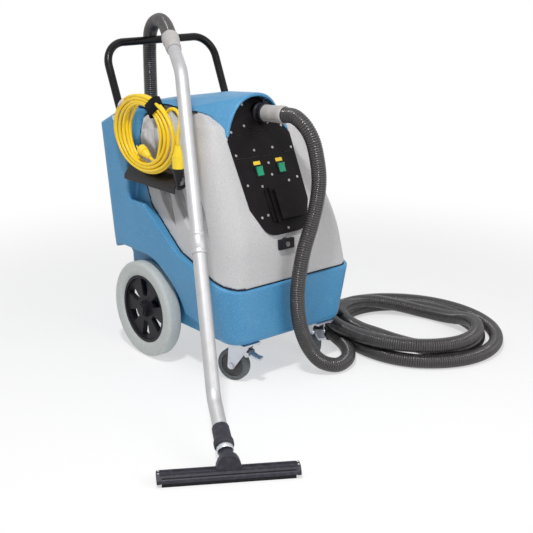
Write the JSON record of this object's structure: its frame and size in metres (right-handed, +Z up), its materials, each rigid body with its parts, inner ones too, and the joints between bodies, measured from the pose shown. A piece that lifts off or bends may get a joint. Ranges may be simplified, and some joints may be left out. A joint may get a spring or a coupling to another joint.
{
  "type": "carpet cleaner machine",
  "caption": "Walk-behind carpet extractor: wheeled blue tank body, sloped control panel, coiled vacuum hose, S-bend wand with squeegee head, hung power cord.",
  "frame": {"origin": "on the floor, under the middle of the box round the machine and its wand, cords and hoses left aside", "axes": "+Z up; -Y is the front, where the control panel faces; +X is to the right in a front view"},
  "size_m": [1.5158, 1.2669, 1.0355],
  "materials": {
    "blue_shell": "speckled rotomoulded polyethylene, azure blue",
    "grey_shell": "granite-speckled rotomoulded polyethylene, light grey",
    "seals": "black foam rubber",
    "panel": "black satin powder coat",
    "screws": "zinc-plated steel",
    "black_plastic": "black moulded plastic",
    "rockers": "green moulded plastic",
    "labels": "bare yellow plates",
    "cuffs": "light grey vinyl",
    "hose": "dark grey ribbed vinyl with a lighter stripe",
    "straps": "black hook-and-loop webbing",
    "wand": "satin polished aluminium tube",
    "blades": "black rubber blades",
    "tyres": "non-marking grey rubber",
    "caster_steel": "zinc-plated pressed steel",
    "caster_hubs": "dark grey nylon",
    "caster_tyres": "dark grey rubber",
    "cord": "yellow vinyl-jacketed cord",
    "drain_red": "red moulded lever"
  },
  "bodies": {
    "machine": {"base_tank": "blue_shell", "recovery_tank": "grey_shell", "hood": "blue_shell", "tank_seal": "seals", "hood_seal": "seals", "inlet_plate": "panel", "middle_plate": "panel", "switch_plate": "panel", "cover_box": "panel", "panel_screws": "screws", "switch_bezels": "black_plastic", "label_plates": "labels", "breaker_case": "black_plastic", "inlet_cuff": "cuffs", "hose_drop": "hose", "hose_coil": "hose", "hose_rise": "hose", "hose_strap": "straps", "wand_cuff": "cuffs", "wand_upper": "wand", "wand_lower": "wand", "wand_sleeve": "wand", "squeegee_collar": "black_plastic", "collar_band": "screws", "squeegee_head": "black_plastic", "squeegee_blades": "blades", "squeegee_screws": "screws", "handle": "panel", "handle_bolts": "screws", "axle": "screws", "caster_plates": "caster_steel", "side_brackets": "panel", "cord_coil": "cord", "cord_strap": "straps", "cord_plug": "cord", "cord_connector": "cord", "pigtail": "black_plastic", "cord_gland": "black_plastic", "drain_valve": "black_plastic"},
    "left_wheel": {"left_tyre": "tyres", "left_hub": "black_plastic", "left_hub_cap": "black_plastic"},
    "right_wheel": {"right_tyre": "tyres", "right_hub": "black_plastic", "right_hub_cap": "black_plastic"},
    "left_caster": {"left_caster_fork": "caster_steel", "left_caster_axle": "caster_steel"},
    "right_caster": {"right_caster_fork": "caster_steel", "right_caster_axle": "caster_steel"},
    "left_caster_wheel": {"left_caster_hub": "caster_hubs", "left_caster_tyre": "caster_tyres"},
    "right_caster_wheel": {"right_caster_hub": "caster_hubs", "right_caster_tyre": "caster_tyres"},
    "left_pedal": {"left_brake_pedal": "black_plastic"},
    "right_pedal": {"right_brake_pedal": "black_plastic"},
    "left_switch": {"left_rocker": "rockers"},
    "right_switch": {"right_rocker": "rockers"},
    "reset_button": {"breaker_button": "black_plastic"},
    "drain_handle": {"drain_lever": "drain_red"}
  },
  "joints": [
    {"name": "left_wheel_spin", "type": "hinge", "parent": "machine", "child": "left_wheel", "pos_m": [-0.01712, 0.32763, 0.1525], "axis": [1, 0, 0], "continuous": true},
    {"name": "right_wheel_spin", "type": "hinge", "parent": "machine", "child": "right_wheel", "pos_m": [0.46088, 0.32763, 0.1525], "axis": [1, 0, 0], "continuous": true},
    {"name": "left_caster_swivel", "type": "hinge", "parent": "machine", "child": "left_caster", "pos_m": [0.07588, -0.03237, 0.12], "axis": [0, 0, 1], "continuous": true},
    {"name": "left_caster_spin", "type": "hinge", "parent": "left_caster", "child": "left_caster_wheel", "pos_m": [0.06464, -0.00455, 0.05], "axis": [0.9272, 0.3746, 0], "continuous": true},
    {"name": "left_pedal_press", "type": "hinge", "parent": "left_caster", "child": "left_pedal", "pos_m": [0.08412, -0.05276, 0.094], "axis": [0.9272, 0.3746, 0], "range_deg": [0, 18]},
    {"name": "right_caster_swivel", "type": "hinge", "parent": "machine", "child": "right_caster", "pos_m": [0.36788, -0.03237, 0.12], "axis": [0, 0, 1], "continuous": true},
    {"name": "right_caster_spin", "type": "hinge", "parent": "right_caster", "child": "right_caster_wheel", "pos_m": [0.37912, -0.00455, 0.05], "axis": [0.9272, -0.3746, 0], "continuous": true},
    {"name": "right_pedal_press", "type": "hinge", "parent": "right_caster", "child": "right_pedal", "pos_m": [0.35964, -0.05276, 0.094], "axis": [0.9272, -0.3746, 0], "range_deg": [0, 18]},
    {"name": "left_switch_rock", "type": "hinge", "parent": "machine", "child": "left_switch", "pos_m": [0.18388, 0.02057, 0.61544], "axis": [1, 0, 0], "range_deg": [-16, 0]},
    {"name": "right_switch_rock", "type": "hinge", "parent": "machine", "child": "right_switch", "pos_m": [0.26788, 0.02057, 0.61544], "axis": [1, 0, 0], "range_deg": [-16, 0]},
    {"name": "reset_press", "type": "slide", "parent": "machine", "child": "reset_button", "axis": [0, 0.9994, -0.0349], "range_m": [0, 0.003]},
    {"name": "drain_turn", "type": "hinge", "parent": "machine", "child": "drain_handle", "pos_m": [0.33988, 0.54863, 0.408], "axis": [0, 0, 1], "range_deg": [0, 90]}
  ]
}
